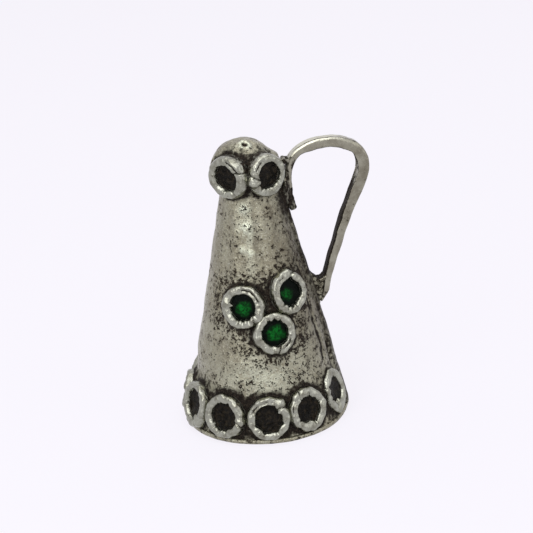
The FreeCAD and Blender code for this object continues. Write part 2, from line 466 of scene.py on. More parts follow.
def silver_sheet():
    """Worked sheet: warm grey, pitted in clusters, dark in the hollows with patina and painted shade,
    with painted shade on the side by the handle and painted highlights where the lamps would glint.
    """
    material, f = new_material("oxidised_silver_sheet")
    at = f.place()
    grime_and_shade = f.attribute("grime_and_shade")
    pitting = f.attribute("pitting")
    painted_highlight = f.attribute("painted_highlight")
    painted_shade = f.attribute("painted_shade")
    patches = f.noise(at, 0.3, 3.0)
    clouds = f.noise(at, 0.8, 3.0)
    fine = f.noise(at, 2.0, 5.0, 0.62)
    grain = f.noise(at, 5.5, 3.0, 0.6)
    crowd = (pitting - 0.5) * 0.26 + (clouds - 0.5) * 0.22
    pit = f.step(fine * 0.54 + grain * 0.46 + crowd, 0.555, 0.585)
    holes = (1 - f.step(f.cells(at, 1.5), 0.16, 0.27)) * f.step(clouds + (pitting - 0.5) * 0.4, 0.5, 0.6)
    # Grime and painted shade from the values kept at the points, broken up by noise
    dirt_and_shade = f.step(grime_and_shade + (fine - 0.5) * 1.1 + (patches - 0.5) * 0.5, 0.3, 0.8)
    dark = dirt_and_shade | pit | holes * 0.9
    metal = f.mix(f.step(patches, 0.35, 0.65), SHEET_PALE, SHEET_DEEP)
    metal = f.mix(f.step(clouds, 0.5, 0.72) * 0.55, metal, SHEET_CLOUD)
    metal = f.mix(f.step(grain + (pitting - 0.5) * 0.1, 0.5, 0.66) * 0.65, metal, SHEET_GRAIN)
    # Painted shade, darker on the side by the handle
    metal = f.mix(painted_shade, metal, SHEET_SHADE)
    # Painted highlights where the lamps would glint
    metal = f.mix(painted_highlight * f.step(fine, 0.34, 0.56), metal, SHEET_HIGHLIGHT)
    relief = f.raised(fine * 0.6 + clouds * 0.7 + grain * 0.25 - pit * 0.5 - holes * 0.6, 0.26)
    tarnished_and_shaded(f, metal, dark, grain, 0.29, 0.4, relief)
    return material


def silver_wire():
    """Hammered wire: brighter and smoother than the sheet, dark only in its nicks and joints, with
    painted shade on its inner wall and at its foot.
    """
    material, f = new_material("hammered_silver_wire")
    at = f.place()
    grime_and_shade = f.attribute("grime_and_shade")
    fine = f.noise(at, 1.9, 3.0, 0.5)
    grain = f.noise(at, 5.0, 3.0)
    patches = f.noise(at, 0.9, 2.0)
    # Grime and painted shade from the values kept at the points
    dirt_and_shade = f.step(grime_and_shade + (fine - 0.5) * 0.8, 0.42, 0.72)
    pit = f.step(fine * 0.5 + grain * 0.5, 0.62, 0.67) * 0.6
    dark = dirt_and_shade | pit
    metal = f.mix(f.step(patches, 0.35, 0.7), WIRE_PALE, WIRE_DEEP)
    metal = f.mix(f.step(fine, 0.52, 0.74) * 0.5, metal, WIRE_CLOUD)
    metal = f.mix(f.step(1 - fine, 0.5, 0.7) * 0.35, metal, WIRE_BRIGHT)
    relief = f.raised(fine * 0.7 + patches + grain * 0.06 - pit * 0.4, 0.16)
    tarnished_and_shaded(f, metal, dark, grain, 0.22, 0.45, relief)
    return material


def rubbed_silver():
    """The handle and the hinge: rubbed smoother than the body, with a painted highlight along the
    handle's top, and mottled grime with painted shade on the handle's inner faces and at its ends.
    """
    material, f = new_material("rubbed_silver")
    at = f.place()
    grime_and_shade = f.attribute("grime_and_shade")
    painted_highlight = f.attribute("painted_highlight")
    fine = f.noise(at, 1.8, 5.0, 0.62)
    grain = f.noise(at, 5.0, 3.0, 0.6)
    patches = f.noise(at, 0.45, 3.0)
    dirt_and_shade = f.step(grime_and_shade + (fine - 0.5) * 1.2 + (patches - 0.5) * 0.6, 0.4, 0.75)
    pit = f.step(fine * 0.6 + grain * 0.4, 0.6, 0.65) * 0.7
    dark = dirt_and_shade | pit
    metal = f.mix(f.step(patches, 0.35, 0.65), RUBBED_PALE, RUBBED_DEEP)
    metal = f.mix(f.step(grain, 0.52, 0.72) * 0.35, metal, RUBBED_GRAIN)
    # Painted highlight along the top of the handle
    metal = f.mix(painted_highlight * f.step(patches, 0.2, 0.5), metal, RUBBED_HIGHLIGHT)
    relief = f.raised(fine * 0.5 + patches + grain * 0.05 - pit * 0.4, 0.12)
    tarnished_and_shaded(f, metal, dark, grain, 0.26, 0.4, relief)
    return material


def dark_enamel():
    """Worn brown-black enamel, nearly matt, with a few warm specks."""
    material, f = new_material("dark_enamel")
    at = f.place()
    fine = f.noise(at, 1.8, 4.0, 0.65)
    grain = f.noise(at, 5.0, 2.0)
    colour = f.mix(f.step(fine, 0.42, 0.7), DARK_DEEP, DARK_BROWN)
    colour = f.mix(f.step(grain, 0.68, 0.74) * 0.5, colour, DARK_SPECK)
    relief = f.raised(fine, 0.5)
    f.surface({"Base Color": colour, "Roughness": 0.12 + fine * 0.4,
               "Specular IOR Level": 0.12, "Normal": relief})
    return material


def green_enamel():
    """Deep green glassy enamel, mottled, with painted light in a patch and a painted shadow of the
    collet's wall, black towards its edge.
    """
    material, f = new_material("green_enamel")
    at = f.place()
    edge = f.attribute("edge")
    fine = f.noise(at, 3.0, 4.0, 0.6)
    mottle = f.noise(at, 1.0, 2.0)
    # Painted shadow of the wall, growing towards the edge, with the painted light left in the lit patch
    rim = f.step(edge + (mottle - 0.5) * 0.7 + (fine - 0.5) * 0.3, 0.34, 0.78)
    lit = f.mix(f.step(fine, 0.38, 0.64), GREEN_DEEP, GREEN_CLEAR)
    colour = f.mix(rim, lit, GREEN_WALL_SHADOW)
    relief = f.raised(fine, 0.12)
    f.surface({"Base Color": colour, "Roughness": 0.14, "Specular IOR Level": 0.05, "Normal": relief})
    return material


SHEET_FINISH = silver_sheet()
WIRE_FINISH = silver_wire()
RUBBED_FINISH = rubbed_silver()
DARK_FINISH = dark_enamel()
GREEN_FINISH = green_enamel()


# Collets and their places

def seat(angle, radius, z, tilt):
    """A frame whose Z points square out of the body, with Y up its side and X to the right."""
    a = math.radians(angle)
    out = Vector((math.cos(a) * math.cos(tilt), math.sin(a) * math.cos(tilt), math.sin(tilt)))
    across = Vector((-math.sin(a), math.cos(a), 0))
    up = out.cross(across)
    centre = Vector((radius * math.cos(a), radius * math.sin(a), z))
    return Matrix.Translation(centre) @ Matrix((across, up, out)).transposed().to_4x4()


def cone_seat(angle, z):
    return seat(angle, cone_radius(z), z, CONE_TILT)


# Where the foot is out of round, on the side by the handle: angle, width and depth
DRAWN_AT = -24.0
DRAWN_WIDTH = 26.0
DRAWN_DEPTH = 0.4


def drawn_in(angle, z):
    """How far the foot is drawn in, at an angle in degrees."""
    away = turn_between(angle, DRAWN_AT, 360.0)
    return DRAWN_DEPTH * bump(DRAWN_WIDTH, away) * (1 - step(4.0, 12.0, z))


def foot_seat(angle, z):
    return seat(angle, cone_radius(z) - drawn_in(angle, z), z, CONE_TILT)


# The plain ring that each wire is shaped from: its radius, and its wire's
PLAIN_RING = 2.0
PLAIN_WIRE = 0.5


def squared(value, power):
    """Draws a round section, from -1 to 1, out towards a square one."""
    return math.copysign(min(1.0, abs(value)) ** power, value)


class Wire:
    """One collet: how its wire is bent, hammered and joined.

    Angles are in degrees, 0 to the right and 90 up.
    outer is the ring's outer radius; width and height are its wire's; tall stretches the ring upwards.
    joint is where the ends meet; end is how far one end stands out there.
    nicks are the cuts in the inner lip; grooves are (from, to, share across) lines beside a doubled wire.
    hole, rim and top are (angle, width, amount) swellings of the inner edge, outer edge and height.
    uneven is how far the hammer moved the two edges.
    """

    def __init__(self, seed, outer, width, joint, nicks, grooves=(), hole=(), rim=(), top=(),
                 end=0.12, tall=1.0, uneven=0.12, height=0.95):
        self.seed = seed * 7.31
        self.outer = outer
        self.width = width
        self.height = height
        self.joint = joint
        self.nicks = nicks
        self.grooves = grooves
        self.hole = hole
        self.rim = rim
        self.top = top
        self.end = end
        self.tall = tall
        self.uneven = uneven

    def wave(self, angle, pace, kind):
        """Unevenness round the ring, from -1 to 1."""
        return ring_drift(angle, pace, self.seed + kind * 3.7)

    def arc(self, angle, degrees):
        """Distance round the ring's middle from an angle in degrees."""
        return turn_between(angle, math.radians(degrees)) * (self.outer - self.width / 2)

    def swelling(self, angle, places):
        return sum(amount * bump(width, self.arc(angle, at)) for at, width, amount in places)

    def groove(self, angle, across):
        """How deep in a groove a point of the wire is, from 0 to 1."""
        deepest = 0.0
        for start, stop, share in self.grooves:
            middle = math.radians((start + stop) / 2)
            half = math.radians((stop - start) / 2)
            away = abs(turn_between(angle, middle))
            line = bump(0.25, across - share - 0.15 * self.wave(angle, 2.0, 11))
            deepest = max(deepest, line * (1 - step(half * 0.75, half, away)))
        return deepest

    def nick(self, angle, width):
        return max([bump(width, self.arc(angle, at)) for at in self.nicks] + [0.0])

    def cut(self, angle, across):
        """1 in the joint, which slants across the wire."""
        return bump(0.1, self.arc(angle, self.joint) + 0.3 * across)

    def inner_edge(self, angle):
        uneven = self.wave(angle, 1.1, 1) + 0.8 * self.wave(angle, 3.0, 2)
        return self.outer - self.width + self.uneven * uneven + self.swelling(angle, self.hole)

    def outer_edge(self, angle):
        uneven = self.wave(angle, 1.3, 5) + 1.2 * self.wave(angle, 4.0, 6)
        return self.outer + self.uneven * uneven + self.swelling(angle, self.rim)

    def crest(self, angle):
        uneven = 0.15 * self.wave(angle, 1.8, 3) + 0.1 * self.wave(angle, 5.0, 4)
        return self.height * (1 + uneven) + self.swelling(angle, self.top)

    def shape(self, co, foot):
        """Where a point of a plain ring goes, and the grime and painted shade there."""
        angle = math.atan2(co.y, co.x)
        across = squared((math.hypot(co.x, co.y) - PLAIN_RING) / PLAIN_WIRE, 0.62)
        rise = squared(co.z / PLAIN_WIRE, 0.7)
        inward = (1 - across) / 2
        nick = self.nick(angle, 0.24)
        cut = self.cut(angle, across)
        groove = self.groove(angle, across)
        end = self.end * bump(0.36, self.arc(angle, self.joint) - 0.45)
        inner = self.inner_edge(angle) - 0.6 * end
        outer = self.outer_edge(angle) + end - 0.1 * cut
        radius = inner + (outer - inner) * (across + 1) / 2 + 0.17 * nick * inward ** 1.5
        x = radius * math.cos(angle)
        y = radius * math.sin(angle) * self.tall
        if rise >= 0:
            z = rise * (self.crest(angle) + end) * (1 - 0.16 * across ** 4)
            z -= rise * (0.3 * cut + 0.26 * nick * inward ** 2 + 0.36 * groove)
        else:
            z = -rise * foot(x, y)
        # Painted shade on the inner wall of the hole and under the wire where it meets the body; the
        # joint, grooves and nicks are dark joints
        wall = step(0.55, 0.85, inward) * (1 - step(0.35, 0.8, rise))
        low = 1 - step(-0.05, 0.22, z)
        slit = self.nick(angle, 0.08) * step(0.6, 0.95, inward)
        grime_and_shade = max(0.8 * cut, 0.85 * groove, 0.7 * slit, 0.8 * wall, 0.7 * low)
        return Vector((x, y, z)), grime_and_shade


def uneven_nicks(seed, count):
    """Angles of the nicks in a lip that no one sees closely."""
    shifts = [0.7 * noise.noise(Vector((seed * 3.3, i * 1.7, 0.5))) for i in range(count)]
    return [360 * (i + shift) / count for i, shift in enumerate(shifts)]


def back_wire(seed):
    """A plain wire, for the collets at the back."""
    return Wire(seed, BASE_OUTER, BASE_WIRE, (seed * 83) % 360, uneven_nicks(seed, 7))


# The foot's collets: angle round the jug, how much higher than the ring it sits, and its wire
BASE_COLLETS = [(39.25 + 31.5 * i, 0.0, back_wire(i + 1)) for i in range(4)] + [
    (166.2, -0.4, Wire(5, 2.75, 1.08, 20, ())),
    (195.8, -0.3, Wire(10, 2.92, 1.08, 300, (60, 120, 200), tall=1.05,
                       hole=[(318, 0.5, -0.5), (100, 0.7, 0.1)],
                       rim=[(270, 0.8, 0.12)], top=[(318, 0.4, 0.15)])),
    (227.6, -0.36, Wire(11, 3.05, 1.3, 345, (232, 256, 284, 70), end=0.1, tall=0.97,
                        hole=[(60, 0.7, -0.06)],
                        rim=[(95, 0.9, 0.1), (215, 0.8, 0.06)], top=[(50, 0.6, 0.14)])),
    (260.5, -0.36, Wire(1, 2.84, 1.16, 38, (205, 250, 300, 340), end=0.22, tall=1.05,
                        grooves=[(60, 165, -0.15)],
                        hole=[(30, 0.55, -0.36), (170, 0.6, -0.1)],
                        rim=[(48, 0.8, 0.16), (10, 0.6, 0.08)],
                        top=[(28, 0.5, 0.34), (100, 0.9, 0.12)])),
    (290.1, -0.12, Wire(2, 2.78, 1.2, 118, (20, 75, 215, 290), end=0.1, tall=1.05,
                        grooves=[(118, 185, 0.2)],
                        hole=[(150, 0.6, 0.05), (85, 0.8, -0.13), (270, 0.9, -0.16)],
                        rim=[(265, 1.0, 0.12), (95, 0.8, 0.1)])),
    (324.2, 0.1, Wire(3, 2.4, 0.95, 250, (150, 175, 200, 80), end=0.1, tall=1.25, height=0.62,
                      hole=[(270, 0.9, -0.5), (180, 0.7, -0.12), (0, 0.7, 0.12)],
                      rim=[(170, 0.8, 0.06), (275, 0.8, 0.1)])),
]

# The front group: angle round the jug, height, and its wire
FRONT_COLLETS = [
    (-116.5, 17.98, Wire(21, 2.9, 1.32, -47, (250, 272, 296, 332), tall=1.02,
                         grooves=[(-10, 105, 0.1)],
                         hole=[(172, 0.42, -0.55), (140, 0.5, 0.15)],
                         rim=[(20, 0.8, 0.06)], top=[(172, 0.45, 0.15)])),
    (-87.3, 14.3, Wire(22, 2.84, 1.24, -82, (62, 88, 112),
                       grooves=[(-70, -8, -0.1)],
                       rim=[(80, 0.8, 0.05), (190, 1.0, 0.08)],
                       top=[(100, 0.4, 0.1), (70, 0.35, 0.1)])),
    (-65.9, 19.05, Wire(23, 2.64, 1.2, 72, (246, 268, 290, 225), end=0.16, tall=1.14,
                        grooves=[(100, 185, 0.15)],
                        hole=[(76, 0.4, 0.42), (230, 0.7, -0.12), (0, 1.0, 0.28)],
                        rim=[(100, 0.5, 0.1)], top=[(270, 0.8, 0.08)])),
]

# The lid's collets: angle round the jug and the wire
CROWN_COLLETS = [
    (-137.2, Wire(31, 2.93, 1.28, 28, (262, 300), end=0.16, tall=0.98, uneven=0.06,
                  grooves=[(20, 92, 0.05)],
                  hole=[(318, 0.6, 0.08), (130, 0.7, 0.12), (50, 0.8, -0.2),
                        (0, 0.8, -0.16), (270, 0.7, -0.08)],
                  rim=[(60, 0.9, 0.04)], top=[(60, 0.6, 0.14)])),
    (-68.6, Wire(32, 2.55, 1.12, 178, (230, 330), end=0.18, tall=1.14, uneven=0.06,
                 grooves=[(100, 160, 0.1)],
                 hole=[(62, 0.7, 0.16), (5, 0.9, 0.26), (180, 0.9, -0.28),
                       (130, 0.6, -0.1), (270, 0.8, -0.14)],
                 rim=[(185, 0.4, 0.14), (25, 0.8, 0.18)],
                 top=[(195, 0.4, 0.18), (150, 0.5, 0.1)])),
]

# Painted light on the green enamel: where it falls, from the middle of its fill, how far that reaches and
# how dark the painted shadow starts
EVENLY_LIT = (0.0, 0.0, 1.0, 0.0)
GREEN_LIT_PLACES = [(0.15, -0.28, 0.78, -0.04), (0.07, 0.02, 1.2, 0.12), (-0.5, -0.15, 1.3, 0.32)]

BASE_SEATS = [foot_seat(angle, BASE_Z + lift) for angle, lift, wire in BASE_COLLETS]
FRONT_SEATS = [cone_seat(angle, z) for angle, z, wire in FRONT_COLLETS]
CROWN_SEATS = [seat(angle, CROWN_SEAT, CROWN_Z, 0) for angle, wire in CROWN_COLLETS]


def edge_distance(point, places):
    """How far a point is from the nearest collet's outer edge, less than 0 under it."""
    nearest = 100.0
    for inverse, outer in places:
        local = inverse @ point
        if local.z > -outer:
            nearest = min(nearest, math.hypot(local.x, local.y) - outer)
    return nearest


def rims(seats, rows):
    """What edge_distance needs of a group of collets."""
    return [(matrix.inverted(), row[-1].outer) for matrix, row in zip(seats, rows)]


BASE_RIMS = rims(BASE_SEATS, BASE_COLLETS)
FRONT_RIMS = rims(FRONT_SEATS, FRONT_COLLETS)
CROWN_RIMS = rims(CROWN_SEATS, CROWN_COLLETS)
CONE_RIMS = BASE_RIMS + FRONT_RIMS


def plain_ring():
    begin()
    bpy.ops.mesh.primitive_torus_add(major_radius=PLAIN_RING, minor_radius=PLAIN_WIRE,
                                     major_segments=WIRE_SIDES, minor_segments=SECTION_SIDES)
    return bpy.context.object


def cone_foot(matrix):
    """How far above a seat's plane the cone is, less a little, so that the wire reaches into it."""
    radius = math.hypot(matrix.translation.x, matrix.translation.y)

    def foot(x, y):
        local_radius = radius - y * math.sin(CONE_TILT)
        return math.sqrt(max(0.1, local_radius ** 2 - x * x)) - local_radius - 0.15
    return foot


def ball_foot(x, y):
    """The lid's collets reach into the ball, and stay clear of the neck below its rim."""
    ball = math.sqrt(max(0.1, BALL_RADIUS ** 2 - x * x - (CROWN_Z + y - BALL_Z) ** 2)) - CROWN_SEAT - 0.12
    neck = math.sqrt(CROWN_ROOM ** 2 - x * x) - CROWN_SEAT
    return max(ball, neck) if CROWN_Z + y < LID_RIM + 0.2 else ball


def make_collet(plain, wire, foot):
    ring = copied(plain)
    grime_and_shade = []
    for point in ring.data.vertices:
        point.co, dirt_and_shade = wire.shape(point.co.copy(), foot)
        grime_and_shade.append(dirt_and_shade)
    ring.data.update()
    ring.data.attributes.new("grime_and_shade", "FLOAT", "POINT").data.foreach_set("value", grime_and_shade)
    return ring


def fill_disc():
    """A round face drawn in ring by ring to its middle."""
    middle = 0.02
    outline = [(FILL_RADIUS, -0.6)]
    outline += [(FILL_RADIUS * (1 - i / FILL_RINGS) + middle, 0.0) for i in range(FILL_RINGS)]
    return outward(lathe(outline + [(middle, 0.0)], FILL_SIDES, capped=True))


def make_fill(disc, form, seed, clear):
    """Enamel for a collet, from its group's form and from where light is painted on it."""
    depth, dome, rough = form
    x, y, reach, dark = clear
    fill = copied(disc)

    def blow(co):
        if co.z < -0.1:
            return co
        far = math.hypot(co.x, co.y) / FILL_RADIUS
        z = depth + dome * (1 - far * far) + rough * noise.noise(co * 1.1 + Vector((0, 0, seed)))
        return Vector((co.x, co.y, z))

    # The painted shadow of the wall, from the lit place outwards
    def edge(co, out):
        return dark + math.hypot(co.x - x, co.y - y) / (FILL_RADIUS * reach)

    hammered(fill, blow)
    return painted(fill, "edge", edge)


# The groups: name, seats, collets and body, and the fill: depth at its edge, rise of its middle and
# roughness, then its first seed, slot and finish
GROUPS = [
    ("base", BASE_SEATS, BASE_COLLETS, "jug", (0.34, -0.14, 0.2), 0, "dark_enamel", DARK_FINISH),
    ("front", FRONT_SEATS, FRONT_COLLETS, "jug", (0.3, 0.25, 0.08), 50, "green_enamel", GREEN_FINISH),
    ("crown", CROWN_SEATS, CROWN_COLLETS, "lid", (0.4, -0.1, 0.2), 80, "dark_enamel", DARK_FINISH),
]


def make_collets():
    ring = plain_ring()
    disc = fill_disc()
    for name, seats, rows, body, form, seed, slot, finish in GROUPS:
        for i, (matrix, row) in enumerate(zip(seats, rows)):
            node = "%s_collet_%02d" % (name, i + 1)
            wire = make_collet(ring, row[-1], ball_foot if body == "lid" else cone_foot(matrix))
            finished(placed(wire, matrix), node + "_wire", node, body, "silver_wire", WIRE_FINISH, 75.0)
            node = "%s_enamel_%02d" % (name, i + 1)
            clear = GREEN_LIT_PLACES[i] if name == "front" else EVENLY_LIT
            fill = make_fill(disc, form, i * 5.3 + seed, clear)
            finished(placed(fill, matrix), node + "_fill", node, body, slot, finish)
    for plain in (ring, disc):
        bpy.data.objects.remove(plain)


# Body

# Flats that the hammer left: from and to angle, and from and to height
FLATS = [(-130.0, -101.0, 18.0, 33.0), (-101.0, -84.0, 20.0, 31.5), (-152.0, -130.0, 8.0, 30.0),
         (-70.0, -50.0, 21.0, 31.0)]
# Raised spots on the front: angle, height, size and rise
SPOTS = [(-110.7, 28.0, 0.75, 0.18), (-116.4, 25.2, 0.35, 0.1), (-106.8, 24.8, 0.4, 0.12),
         (-113.0, 30.4, 0.6, 0.06)]
# A torn place low on the lapped sheet: angle, height, and how far it reaches round and up
TEAR = (-23.0, 8.8, 4.0, 2.3)
# A dent above the foot's collets on the side away from the handle: the same four, and its depth
DENT = (176.0, 6.9, 24.0, 1.9, 0.42)


def lap_share(angle, z):
    """1 on the sheet's lapped strip, with a ragged edge either side."""
    ragged = 1.4 * drift(0.55 * z, 3.1) + 0.8 * drift(1.7 * z, 9.4)
    start = step(LAP_FROM - 0.6, LAP_FROM + 0.9, angle - ragged)
    return start * (1 - step(LAP_TO - 0.6, LAP_TO + 0.9, angle + ragged))


def seam_line(angle, z):
    """1 along the sheet's seam, a crooked line in front of the lapped strip."""
    crooked = 3.0 * drift(0.22 * z, 1.0) + 1.2 * drift(0.9 * z, 5.0)
    broken = 0.95 + 0.6 * drift(0.7 * z, 8.0)
    line = min(1.0, broken * bump(2.8, angle - SEAM - crooked))
    return line * step(7.0, 9.0, z) * (1 - step(20.0, 24.0, z))


def torn(angle, z):
    """1 in the torn place, with a clear edge."""
    middle, height, across, up = TEAR
    return bump(1.0, math.hypot((angle - middle) / across, (z - height) / up) ** 2)


def dented(angle, z):
    middle, height, across, up, depth = DENT
    return depth * bump(across, turn_between(angle, middle, 360.0)) * bump(up, z - height)


def wandered(angle, z):
    """An angle as the hammered flats have it: their edges wander on the way up."""
    return angle + 2.5 * drift(0.35 * z, 2.0) + 1.4 * drift(1.1 * z, 6.0)


def flattened(angle, z, radius):
    """How far the flats that the hammer left move the sheet: below 0, it goes in."""
    flat = wandered(angle, z)
    move = 0.0
    for start, end, low, high in FLATS:
        if start < flat < end:
            half = math.radians(end - start) / 2
            turned = math.radians(flat - (start + end) / 2)
            chord = radius * (math.cos(half) / math.cos(turned) - 1)
            move += chord * step(low, low + 5, z) * (1 - step(high - 2, high, z))
    return move


def cone_blow(co):
    angle = around(co)
    radius = math.hypot(co.x, co.y)
    out = 0.1 * noise.noise(co * 0.24) + 0.06 * noise.noise(co * 0.6 + Vector((9, 0, 0)))
    out += 0.03 * noise.noise(co * 1.5) + flattened(angle, co.z, radius)
    for spot, z, size, rise in SPOTS:
        out += rise * bump(size, (co - on_cone(spot, z)).length)
    lap = lap_share(angle, co.z)
    out += lap * (LAP_RISE + 0.06 * noise.noise(Vector((angle * 0.35, co.z * 0.25, 4))))
    out -= 0.14 * seam_line(angle, co.z) + 0.35 * torn(angle, co.z) + drawn_in(angle, co.z)
    near = edge_distance(co, CONE_RIMS)
    out -= dented(angle, co.z) * step(-0.2, 0.7, near)
    out += 0.12 * bump(0.35, near) * (1 if near > -0.6 else 0)
    out *= 1 - 0.7 * step(31.5, 32.8, co.z)
    scale = (radius + out) / radius
    return Vector((co.x * scale, co.y * scale, co.z))


# Grime and painted shade on the sheet: patina with painted shade beside the collets, darker low down, a
# painted shadow at the neck under the lid, painted shade on the side by the handle, inside its loop and
# round its ends; the seam and the torn place are dark marks of the sheet
def cone_grime_and_shade(co, out):
    angle = around(co)
    patch = noise.noise(co * 0.45 + Vector((0, 0, 7)))
    ragged = patch + 0.5 * noise.noise(co * 1.6)
    front = 1 - step(-0.1, 1.3 + 1.1 * patch, edge_distance(co, FRONT_RIMS))
    ring = 1 - step(0.1, 2.0 + 1.2 * ragged, edge_distance(co, BASE_RIMS))
    collets = max(front, ring)
    foot = (1 - step(3.8, 6.2 + 1.2 * patch, co.z)) * (0.2 + 0.8 * step(0.9, 2.4, co.z + 1.2 * patch))
    crown = 1 - step(-0.1, 1.2 + 1.0 * patch, edge_distance(co, CROWN_RIMS))
    foot *= 1 - 0.65 * bump(26.0, angle)
    # Painted shadow under the lid's collets and round the top of the neck
    neck = 0.9 * max(crown, step(32.2 + 0.5 * patch, 33.0, co.z))
    seam = 0.95 * seam_line(angle, co.z)
    # Painted shade on the side by the handle and the lapped strip, and in the handle's loop
    right = 0.34 * step(-72.0, -48.0, angle)
    lap = (right + 0.3 * step(SEAM + 8, SEAM + 20, angle)) * (1 - step(LAP_TO, LAP_TO + 12, angle))
    strip = angle + 9 * ragged
    loop = 0.95 * step(-27.0, -12.0, strip) * (1 - step(LAP_TO - 10, LAP_TO + 8, strip))
    loop *= step(13.5, 20.5, co.z + 2.5 * ragged)
    # Painted shade round the strap's foot and its lower end
    strap = 0.85 * (1 - step(1.4, 5.0, (co - STRAP_FOOT).length))
    gusset = 0.8 * (1 - step(1.4, 3.8, (co - STRAP_END).length))
    return max(collets * 0.9, foot, neck, seam, lap, loop, strap, gusset, torn(angle, co.z))


def cone_pitting(co, out):
    """Pits gather round the front group, most of all below it, and close above the foot's collets."""
    angle = around(co)
    right = step(-105.0, -60.0, angle) if angle < 90 else 0.5
    front = 1 - step(0.4, 3.6, edge_distance(co, FRONT_RIMS))
    foot = 1 - step(0.2, 4.5, edge_distance(co, BASE_RIMS))
    return min(1.0, 0.46 + 0.04 * right + max(0.28 * front, 0.16 * foot))


def cone_highlight(co, out):
    """Painted highlights where the lamps would glint: the strip down the front, its raised spots, and the
    swell above the foot.
    """
    angle = around(co)
    flat = wandered(angle, co.z)
    strip = 0.32 * step(-116.0, -109.0, flat) * (1 - step(-102.2, -101.0, flat)) * bump(4.5, co.z - 28.0)
    foot = 0.42 * bump(34.0, angle + 98.0) * bump(3.0, co.z - 8.6)
    spots = max(bump(1.3 * size, (co - on_cone(spot, z)).length) for spot, z, size, rise in SPOTS)
    return max(strip, foot, spots)


def cone_painted_shade(co, out):
    """Painted shade that darkens the side by the handle and a band beside the front ridge, in streaks
    that run up the cone.
    """
    angle = around(co)
    streak = noise.noise(Vector((angle * 0.16, co.z * 0.12, 2)))
    right = step(-96.0, -44.0, angle) * (1 - step(30.0, 80.0, angle))
    high = step(6.0, 17.0, co.z)
    flat = wandered(angle, co.z)
    ridge = step(-102.2, -101.0, flat) * (1 - step(-98.0, -90.0, flat))
    ridge *= step(22.0, 25.0, co.z) * (1 - step(30.0, 32.0, co.z))
    return min(0.8, max(0.0, 0.45 * ridge, (0.08 + 0.4 * high) * right + 0.25 * streak * high))


def make_cone():
    cone = lathe([(FOOT_RADIUS, FOOT_Z), (NECK_RADIUS, CONE_TOP)], CONE_SIDES)
    rings_between(cone, CONE_RINGS)
    outward(cone)
    hammered(cone, cone_blow)
    modified(cone, "SOLIDIFY", thickness=SHEET, offset=-1.0)
    # Grime with painted shade, pits, painted highlights and painted shade on the side by the handle, kept
    # at the points
    painted(cone, "grime_and_shade", cone_grime_and_shade)
    painted(cone, "pitting", cone_pitting)
    painted(cone, "painted_highlight", cone_highlight)
    painted(cone, "painted_shade", cone_painted_shade)
    finished(cone, "body_cone_sheet", "body_cone", "jug", "oxidised_silver", SHEET_FINISH, 80.0)


def plate_blow(co):
    angle = math.atan2(co.y, co.x)
    radius = math.hypot(co.x, co.y)
    edge = step(9.0, 11.0, radius)
    wave = 0.16 * ring_drift(angle, 1.6, 5) + 0.06 * ring_drift(angle, 6, 8)
    scale = 1 + edge * (wave - drawn_in(math.degrees(angle), 0.0)) / max(radius, 0.1)
    lift = 0.08 * edge * ring_drift(angle, 2.4, 15) if co.z > 0.1 else 0.0
    return Vector((co.x * scale, co.y * scale, co.z + lift))


# Grime with painted shade where the plate meets the cone, patches of grime, and a flat darkening
# underneath
def plate_grime_and_shade(co, out):
    if co.z < 0.3:
        return 0.35
    patch = noise.noise(co * 0.7)
    corner = 1 - step(10.3, 10.9 + 0.4 * patch, math.hypot(co.x, co.y))
    return max(0.75 * corner, 0.04 + 0.5 * patch)


def make_plate():
    """A disc with its edge worn round, and rings near its edge for the hammer to move."""
    r, t = PLATE_RADIUS, FOOT_Z
    under = [(radius, 0.0) for radius in (POLE, 4.0, 8.0)]
    edge = [(r - 0.2, 0.0), (r - 0.06, 0.06), (r, 0.2), (r, t - 0.22), (r - 0.06, t - 0.07), (r - 0.2, t)]
    top = [(radius, t) for radius in (10.7, 10.4, 10.0, 9.6, 8.0, 4.0, POLE)]
    plate = closed_pole(lathe(under + edge + top, PLATE_SIDES, capped=True))
    hammered(plate, plate_blow)
    painted(plate, "grime_and_shade", plate_grime_and_shade)
    painted(plate, "pitting", lambda co, out: 0.5)
    finished(plate, "base_plate_disc", "base_plate", "jug", "oxidised_silver", SHEET_FINISH, 50.0)


# Lid

# The ball's pit before the ball is set over, the hinge, and how far over the ball is set
BALL_PIT = Vector((0.2, -1.61, 38.36))
HINGE = Vector((4.3, 0, 35.05))
BALL_SHIFT = Vector((-0.7, 0, 0))

# Pieces that keep their solids' forms: node, body, grain of the remesh and rounds of smoothing
WORN_PIECES = [("lid_bezel", "lid", 0.09, 3), ("lid_knuckle", "lid", 0.04, 4),
               ("hinge_knuckle_left", "jug", 0.04, 4), ("hinge_knuckle_right", "jug", 0.04, 4),
               ("hinge_pin", "jug", 0.03, 3)]


def ball_blow(co):
    """The ball is raised by hand and set over, except at its rim, its hinge and under its collets."""
    out = 0.1 * noise.noise(co * 0.5 + Vector((2, 0, 0))) + 0.07 * noise.noise(co * 1.3)
    away = (co - BALL_PIT).length
    out += 0.15 * bump(0.3, away - 0.62) - 0.28 * bump(0.38, away)
    free = step(33.2, 34.6, co.z) * step(0.9, 2.3, (co - HINGE).length)
    free *= step(-0.5, 0.5, edge_distance(co, CROWN_RIMS))
    return co + (co - Vector((0, 0, BALL_Z))).normalized() * out + BALL_SHIFT * free


def pit_distance(co):
    return (co - BALL_PIT - BALL_SHIFT).length


# Patina with painted shade round the collets, the dark pit, painted shade along the rim over the neck,
# and patches of grime
def ball_grime_and_shade(co, out):
    patch = noise.noise(co * 0.9 + Vector((0, 4, 0)))
    near = 1 - step(-0.2, 1.5 + 1.2 * patch, edge_distance(co, CROWN_RIMS))
    pit = 1.4 * bump(0.42, pit_distance(co))
    rim = 1 - step(33.4, 34.2, co.z)
    return max(0.85 * near, pit, 0.8 * rim, 0.16 + 0.3 * patch)


